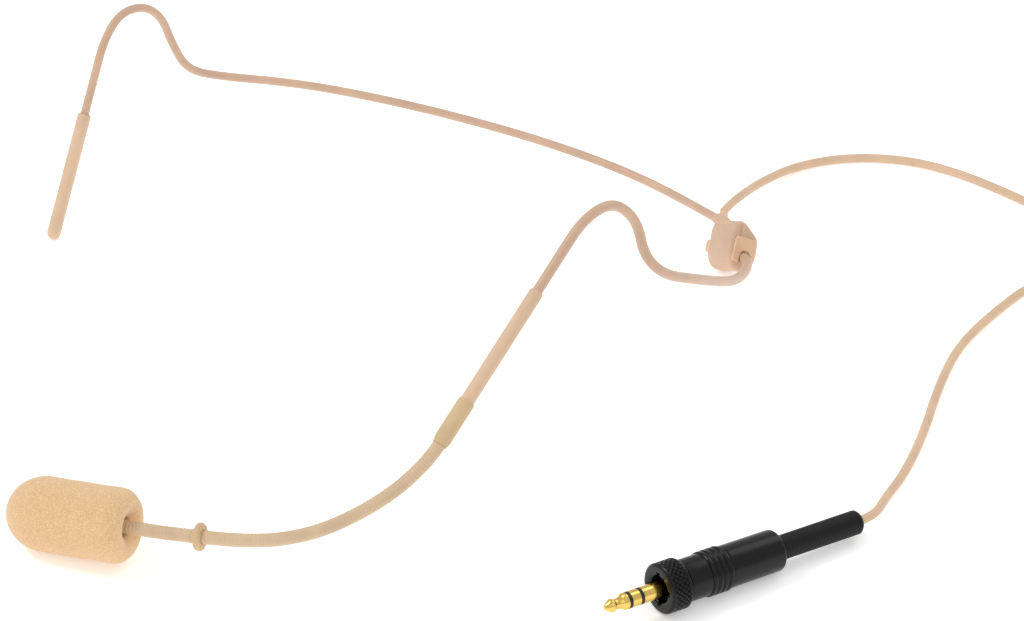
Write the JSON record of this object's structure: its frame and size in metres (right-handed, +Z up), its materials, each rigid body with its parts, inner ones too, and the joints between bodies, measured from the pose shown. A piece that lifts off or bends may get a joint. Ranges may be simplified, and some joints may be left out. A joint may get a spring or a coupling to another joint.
{
  "type": "headset microphone",
  "caption": "Dual ear-hook headset microphone: wire frame behind the neck, gooseneck boom with a foam windscreen, junction block, and thin lead to a locking three-pole plug.",
  "frame": {"origin": "on the floor under the middle of the headset's box, without the lead and plug", "axes": "-Y the wearer's forward, +X the side that carries the boom, +Z up"},
  "size_m": [0.2142, 0.276, 0.0584],
  "materials": {
    "foam": "open-cell foam",
    "rubber_ring": "matte",
    "gooseneck_jacket": "ribbed matte",
    "coated_tube": "satin",
    "beige_plastic": "satin",
    "tan_plastic": "satin",
    "steel": "drawn",
    "lead_jacket": "matte",
    "conductor": "plain",
    "black_metal": "satin",
    "black_rubber": "ribbed matte",
    "insulator": "plain",
    "gold_plate": "polished",
    "aluminium": "satin"
  },
  "bodies": {
    "frame": {"near_frame_tube": "coated_tube", "microphone_lead": "conductor", "near_rod_sleeve": "lead_jacket", "junction_shell_near": "beige_plastic", "junction_shell_far": "beige_plastic", "wire_holder": "tan_plastic", "lead_splice": "insulator", "band_bush": "tan_plastic", "cable_gland": "lead_jacket", "lead_from_block": "lead_jacket", "lead_coil": "lead_jacket", "lead_tie": "black_rubber", "lead_to_plug": "lead_jacket", "plug_tip_contact": "gold_plate", "plug_ring_contact": "gold_plate", "plug_sleeve_contact": "gold_plate", "plug_pin": "gold_plate", "plug_front_insulator": "insulator", "plug_rear_insulator": "insulator", "plug_core": "insulator", "plug_front_body": "black_metal", "plug_shell": "black_metal", "plug_strain_relief": "black_rubber", "plug_cable_clamp": "insulator", "plug_solder_tags": "gold_plate"},
    "band": {"band_coating": "beige_plastic", "band_core_wire": "steel", "far_rod_sleeve": "lead_jacket"},
    "boom_inner": {"boom_collar": "rubber_ring", "boom_foot_ferrule": "steel", "gooseneck_inner": "gooseneck_jacket", "boom_core_inner": "steel", "boom_lead_inner": "conductor"},
    "boom_middle": {"gooseneck_middle": "gooseneck_jacket", "boom_core_middle": "steel", "boom_lead_middle": "conductor"},
    "boom_outer": {"gooseneck_outer": "gooseneck_jacket", "boom_core_outer": "steel", "boom_lead_outer": "conductor", "tip_ferrule": "beige_plastic", "capsule_housing": "aluminium", "electret_capsule": "aluminium", "capsule_gasket": "rubber_ring", "capsule_grille": "aluminium"},
    "foam": {"windscreen": "foam"},
    "ring_on_boom": {"stop_ring": "rubber_ring"},
    "lock": {"locking_ring": "black_metal", "lock_ring_clip": "steel"}
  },
  "joints": [
    {"name": "band_adjust", "type": "slide", "parent": "frame", "child": "band", "axis": [0.9637, -0.2199, 0.1514], "range_m": [-0.0045, 0.0015]},
    {"name": "boom_swivel", "type": "hinge", "parent": "frame", "child": "boom_inner", "pos_m": [0.07683, -0.01983, 0.0286], "axis": [-0.0777, 0.7703, 0.633], "range_deg": [-45, 45]},
    {"name": "boom_bend_lift", "type": "hinge", "parent": "boom_inner", "child": "boom_middle", "pos_m": [0.07629, -0.04323, 0.014], "axis": [-0.9897, 0.143, 0], "range_deg": [-30, 30]},
    {"name": "boom_bend_side", "type": "hinge", "parent": "boom_middle", "child": "boom_outer", "pos_m": [0.07109, -0.06273, 0.0113], "axis": [-0.0084, -0.0161, 0.9998], "range_deg": [-30, 30]},
    {"name": "windscreen_pull", "type": "slide", "parent": "boom_outer", "child": "foam", "axis": [-0.8933, -0.4437, -0.072], "range_m": [0, 0.03]},
    {"name": "stop_ring_slide", "type": "slide", "parent": "boom_outer", "child": "ring_on_boom", "axis": [-0.8633, -0.4949, -0.099], "range_m": [-0.005, 0.001]},
    {"name": "locking_ring_turn", "type": "hinge", "parent": "frame", "child": "lock", "pos_m": [0.12742, -0.01083, 0.00562], "axis": [0.107, 0.9933, -0.0435], "continuous": true}
  ]
}
